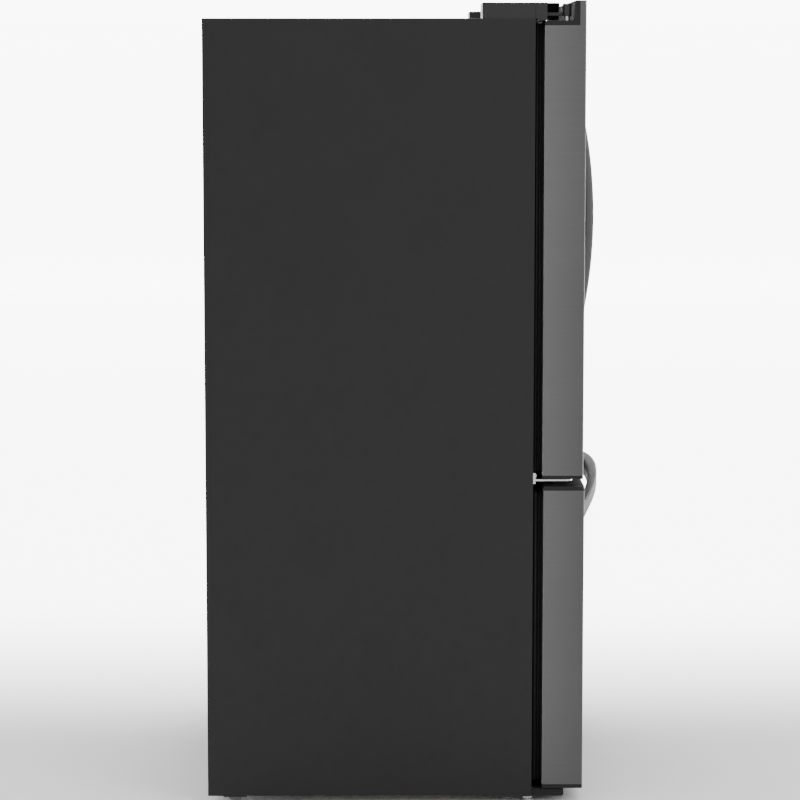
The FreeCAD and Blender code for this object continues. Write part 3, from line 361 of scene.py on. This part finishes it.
# --- handles ----------------------------------------------------------------------------------
def bowed_handle(name, node, body, upright, rise=0.0):
    """A bowed bar with a soft rounded section whose ends run out on the door's face.

    rise is how much higher the middle of a bar along X stands than its ends.
    """
    low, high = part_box(node)
    face = high.y
    reach = high.y - low.y
    along = 2 if upright else 0
    across = 0 if upright else 2
    length = high[along] - low[along]
    middle = (high + low) / 2
    half_wide = (high[across] - low[across] - rise) / 2
    bend = ((length / 2) ** 2 + reach ** 2) / (2 * reach)

    def height(radius, s):
        """How far an arc of this radius stands off the door at s from the middle."""
        return math.sqrt(max(radius ** 2 - s ** 2, 0.0)) - (bend - reach)

    mesh = bmesh.new()
    rings = []
    stations = 96  # closer together towards the ends
    for n in range(stations + 1):
        t = -math.cos(math.pi * n / stations)
        s = t * (length / 2 - 0.0004)
        outer = max(height(bend, s), 0.0012)
        inner = max(height(bend - BAR_DEPTH, s), 0.0)
        end_taper = min(1.0, 0.86 + 0.14 * math.sqrt(min(1.0, (1.0 - abs(t)) / 0.05)))
        ring = []
        for u, v in rounded_section(half_wide * end_taper, inner, outer, 0.006):
            point = [0.0, face - v, 0.0]
            point[along] = middle[along] + s
            point[across] = middle[across] - rise / 2 + rise * v / reach + u
            ring.append(point)
        rings.append(ring)
    loft(mesh, rings, closed=False, capped=True)
    piece(name, mesh, HANDLE, body, (node,))


# --- gaskets ----------------------------------------------------------------------------------
def gasket_profile(depth):
    """Section of a door seal, as (distance in from the outer edge, distance from the door)."""
    outer = [(0.0, 0.0), (0.0, 0.003), (0.0035, 0.0045), (0.0045, 0.0062)]
    for low, high, bulge in ((0.0068, 0.0118, 0.0034), (0.0128, depth, 0.0038)):
        for k in range(7):
            angle = math.pi * k / 6
            outer.append((0.0042 - bulge * math.sin(angle), low + (high - low) * (1 - math.cos(angle)) / 2))
    inner = [(GASKET_WIDTH - u, v) for u, v in reversed(outer)]
    return outer + inner


def door_gasket(name, node, body):
    """A frame of seal section with two rounded ribs on each side."""
    low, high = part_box(node)
    profile = gasket_profile(high.y - low.y)
    mesh = bmesh.new()
    rings = []
    for x_edge, x_in, z_edge, z_in in ((low.x, 1, low.z, 1), (high.x, -1, low.z, 1),
                                       (high.x, -1, high.z, -1), (low.x, 1, high.z, -1)):
        rings.append([(x_edge + x_in * u, low.y + v, z_edge + z_in * u) for u, v in profile])
    loft(mesh, rings)
    piece(name, mesh, RUBBER, body, (node,))


# --- edges of the sheet metal -----------------------------------------------------------------
def hem(name, points, radius, material, body):
    """A thin rolled edge along a run of points."""
    curve = bpy.data.curves.new(name, "CURVE")
    curve.dimensions = "3D"
    curve.bevel_depth = radius
    curve.bevel_resolution = 3
    curve.use_fill_caps = True
    spline = curve.splines.new("POLY")
    spline.points.add(len(points) - 1)
    for target, point in zip(spline.points, points):
        target.co = (*point, 1.0)
    thing = bpy.data.objects.new(name, curve)
    bpy.context.scene.collection.objects.link(thing)
    curve.materials.append(material)
    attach(thing, body)


def skin_hems(node, body):
    """Rolled edges along the foot, the rear and the head of a skin's two sides, coloured light so that they
    draw a painted highlight line.
    """
    low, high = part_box(node)
    top = high.z if node == "freezer_skin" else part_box(node.replace("skin", "caps"))[1].z - LIP_STAND
    r = HEM_RADIUS
    for tag, x in (("a", low.x + r), ("b", high.x - r)):
        path = [(x, low.y + 0.004, low.z + r), (x, high.y - r, low.z + r), (x, high.y - r, top - r),
                (x, low.y + 0.009, top - r)]
        # the hems carry a painted highlight line
        hem(f"{node}_hem_{tag}", path, r, PAINTED_HIGHLIGHT_METAL, body)


# --- levelling legs ---------------------------------------------------------------------------
def levelling_leg(side):
    """A threaded stud, a hexagonal collar and a foot pad."""
    node = f"levelling_leg_{side}"
    low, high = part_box(node)
    centre = (low + high) / 2
    mesh = bmesh.new()

    def turned(profile, count):
        """A solid of this many sides from pairs of radius and height."""
        loft(mesh, [[(centre.x + r * math.cos(2 * math.pi * k / count),
                      centre.y + r * math.sin(2 * math.pi * k / count), z) for k in range(count)]
                    for r, z in profile], closed=False, capped=True)

    turned([(0.0112, 0.0), (0.0124, 0.0006), (0.0124, 0.0026), (0.0115, 0.0032)], 40)
    turned([(0.0108, 0.0032), (0.0119, 0.0039), (0.0119, 0.0092), (0.0108, 0.0099)], 6)
    pitch, root, crest = 0.0015, 0.0042, 0.0050
    thread = [(root, 0.0099)]
    z = 0.0105
    while z < high.z - 0.001:
        thread += [(root, z), (crest, z + 0.3 * pitch), (crest, z + 0.45 * pitch), (root, z + 0.75 * pitch)]
        z += pitch
    turned(thread + [(0.0036, high.z - 0.0002)], 20)
    piece(f"threaded_foot_{side}", mesh, SLIDE, f"leg_{side}", (node,), smooth=False)


# --- seams and seals at the head of the case --------------------------------------------------
def cover_seams():
    """The fine parting line across each hinge cover, level with the front of the case."""
    seam_y = CASE_LOW.y - 0.0004
    for side, sign in SIDES:
        x = sign * COVER_HIGH.x
        low, high = CASE_HIGH.z - 0.001, COVER_HIGH.z - 0.0018
        path = [(x, seam_y, low), (x, seam_y, high), (x - sign * 0.0018, seam_y, COVER_HIGH.z),
                (x - sign * 0.110, seam_y, COVER_HIGH.z)]
        hem(f"{side}_cover_seam", path, 0.0005, RUBBER, "cabinet")


def strip(name, low, high, material, body):
    """A soft-edged strip along X between two opposite corners."""
    mesh = bmesh.new()
    wide, deep = (high[2] - low[2]) / 2, high[1] - low[1]
    rings = []
    for x, inset in ((low[0], 0.0006), (low[0] + 0.0006, 0.0), (high[0] - 0.0006, 0.0), (high[0], 0.0006)):
        rings.append([(x, low[1] + v, low[2] + wide + u)
                      for u, v in rounded_section(wide - inset, inset, deep - inset, 0.0006, 3)])
    loft(mesh, rings, closed=False, capped=True)
    piece(name, mesh, material, body)


def head_seals():
    """A rubber strip along the head of the case, and a skirt under each hinge cover."""
    front = CASE_LOW.y
    strip("head_seal", (CASE_LOW.x + 0.002, front - 0.005, CASE_HIGH.z - 0.008),
          (CASE_HIGH.x - 0.002, front, CASE_HIGH.z - 0.0002), RUBBER, "cabinet")
    for side, sign in SIDES:
        inner, outer = sorted((sign * (COVER_HIGH.x - 0.0016), sign * COVER_HIGH.x))
        strip(f"{side}_cover_skirt", (inner, front - 0.0278, CASE_HIGH.z - 0.0046),
              (outer, front - 0.0002, CASE_HIGH.z - 0.0012), COVER, "cabinet")


# --- screws -----------------------------------------------------------------------------------
def screws(name, places, radius=0.004, count=24):
    """Cross-recessed pan heads facing the rear."""
    mesh = bmesh.new()
    turns = [(math.cos(2 * math.pi * k / count), math.sin(2 * math.pi * k / count)) for k in range(count)]
    arms = [radius * (0.42 if k % 6 in (0, 1, 5) else 0.18) for k in range(count)]
    head = ((radius, 0.0), (radius, 0.0006), (radius * 0.85, 0.0012), (radius * 0.5, 0.0016))
    for x, y, z in places:
        rings = [[(x + r * c, y + h, z + r * d) for c, d in turns] for r, h in head]
        for h in (0.0017, 0.0004):
            rings.append([(x + arm * c, y + h, z + arm * d) for arm, (c, d) in zip(arms, turns)])
        loft(mesh, rings, closed=False, capped=True)
    piece(name, mesh, ZINC, "cabinet")


def rear_screws():
    """Screws round the back panel and along the machine compartment's cover."""
    low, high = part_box("cabinet_back")
    y = high.y - BACK_PANEL_INSET
    places = [(x, y, z) for z in (low.z + 0.02, high.z - 0.02) for x in (-0.42, -0.21, 0.0, 0.21, 0.42)]
    places += [(x, y, low.z + (high.z - low.z) * k / 5) for x in (-0.44, 0.44) for k in range(1, 5)]
    screws("back_panel_screws", places)
    low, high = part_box("machine_cover")
    rows = (low.z + 0.012, high.z - 0.012)
    screws("machine_cover_screws", [(x, high.y, z) for z in rows for x in (-0.435, -0.2, 0.0, 0.2, 0.435)])


# --- stage ------------------------------------------------------------------------------------
GLOW = 6.5  # emission of the bright sweep


def stage():
    """A pale floor that runs up into a bright sweep behind the object."""
    mesh = bmesh.new()
    size, curve, top, floor_z = 14.0, 3.0, 9.0, -0.0002
    run = [(-size, floor_z), (size, floor_z)]
    for degrees in range(6, 91, 6):
        turn = math.radians(degrees)
        run.append((size + curve * math.sin(turn), curve - curve * math.cos(turn)))
    run.append((size + curve, top))
    rows = [[mesh.verts.new((x, y, z)) for y in (-size, size)] for x, z in run]
    for first, second in zip(rows, rows[1:]):
        mesh.faces.new((first[0], second[0], second[1], first[1]))
    data = bpy.data.meshes.new("floor")
    mesh.to_mesh(data)
    mesh.free()
    floor = bpy.data.objects.new("floor", data)
    bpy.context.scene.collection.objects.link(floor)
    b = Builder("floor_paint")
    fine = b.noise(3.0, 4.0)
    body = b.mix(b.spread(fine, 0.0, 1.0), (0.86, 0.86, 0.86), (0.88, 0.88, 0.88))
    b.link(body, b.shader.inputs["Base Color"])
    b.shader.inputs["Roughness"].default_value = 0.9
    b.shader.inputs["Specular IOR Level"].default_value = 0.1
    b.shader.inputs["Emission Color"].default_value = (1.0, 1.0, 1.0, 1.0)
    glow = b.spread(b.axis(0), 0.0, GLOW, 0.0, 2.0)
    glow.node.interpolation_type = "SMOOTHSTEP"
    b.link(glow, b.shader.inputs["Emission Strength"])
    data.materials.append(b.material)


# --- light and camera -------------------------------------------------------------------------
def area_light(name, place, target, size, energy):
    light = bpy.data.lights.new(name, "AREA")
    light.shape = "RECTANGLE"
    light.size, light.size_y = size
    light.energy = energy
    thing = bpy.data.objects.new(name, light)
    bpy.context.scene.collection.objects.link(thing)
    thing.location = place
    thing.rotation_euler = (Vector(target) - Vector(place)).to_track_quat("-Z", "Y").to_euler()


def lights():
    world = bpy.data.worlds.new("studio")
    bpy.context.scene.world = world
    world.use_nodes = True
    background = world.node_tree.nodes["Background"]
    background.inputs["Color"].default_value = (1.0, 1.0, 1.0, 1.0)
    background.inputs["Strength"].default_value = 0.9
    area_light("overhead", (0.0, 0.0, 5.5), (0.0, 0.0, 0.0), (6.0, 6.0), 160.0)
    area_light("front_left", (-3.2, -3.6, 3.2), (0.0, 0.0, 0.9), (2.4, 2.4), 60.0)


def camera():
    """Square on to the left side, a little above the middle of the case, looking slightly down."""
    data = bpy.data.cameras.new("camera")
    data.sensor_width = 36.0
    data.lens = 115.2
    data.shift_y = -0.05
    data.clip_end = 200.0
    thing = bpy.data.objects.new("camera", data)
    bpy.context.scene.collection.objects.link(thing)
    thing.location = (-6.054, 0.0719, 1.62)
    yaw, pitch = -0.0094, 0.1106
    ahead = Vector((math.cos(pitch) * math.cos(yaw), math.cos(pitch) * math.sin(yaw), -math.sin(pitch)))
    thing.rotation_euler = ahead.to_track_quat("-Z", "Y").to_euler()
    bpy.context.scene.camera = thing


camera()
lights()
stage()
finish_nodes()
for side, _ in SIDES:
    bowed_handle(f"{side}_bowed_handle", f"{side}_door_handle", f"{side}_door", True)
    door_gasket(f"{side}_door_seal", f"{side}_door_gasket", f"{side}_door")
    skin_hems(f"{side}_door_skin", f"{side}_door")
    levelling_leg(side)
bowed_handle("drawer_bowed_handle", "freezer_handle", "freezer_drawer", False, DRAWER_HANDLE_RISE)
door_gasket("drawer_seal", "freezer_gasket", "freezer_drawer")
skin_hems("freezer_skin", "freezer_drawer")
rear_screws()
cover_seams()
head_seals()
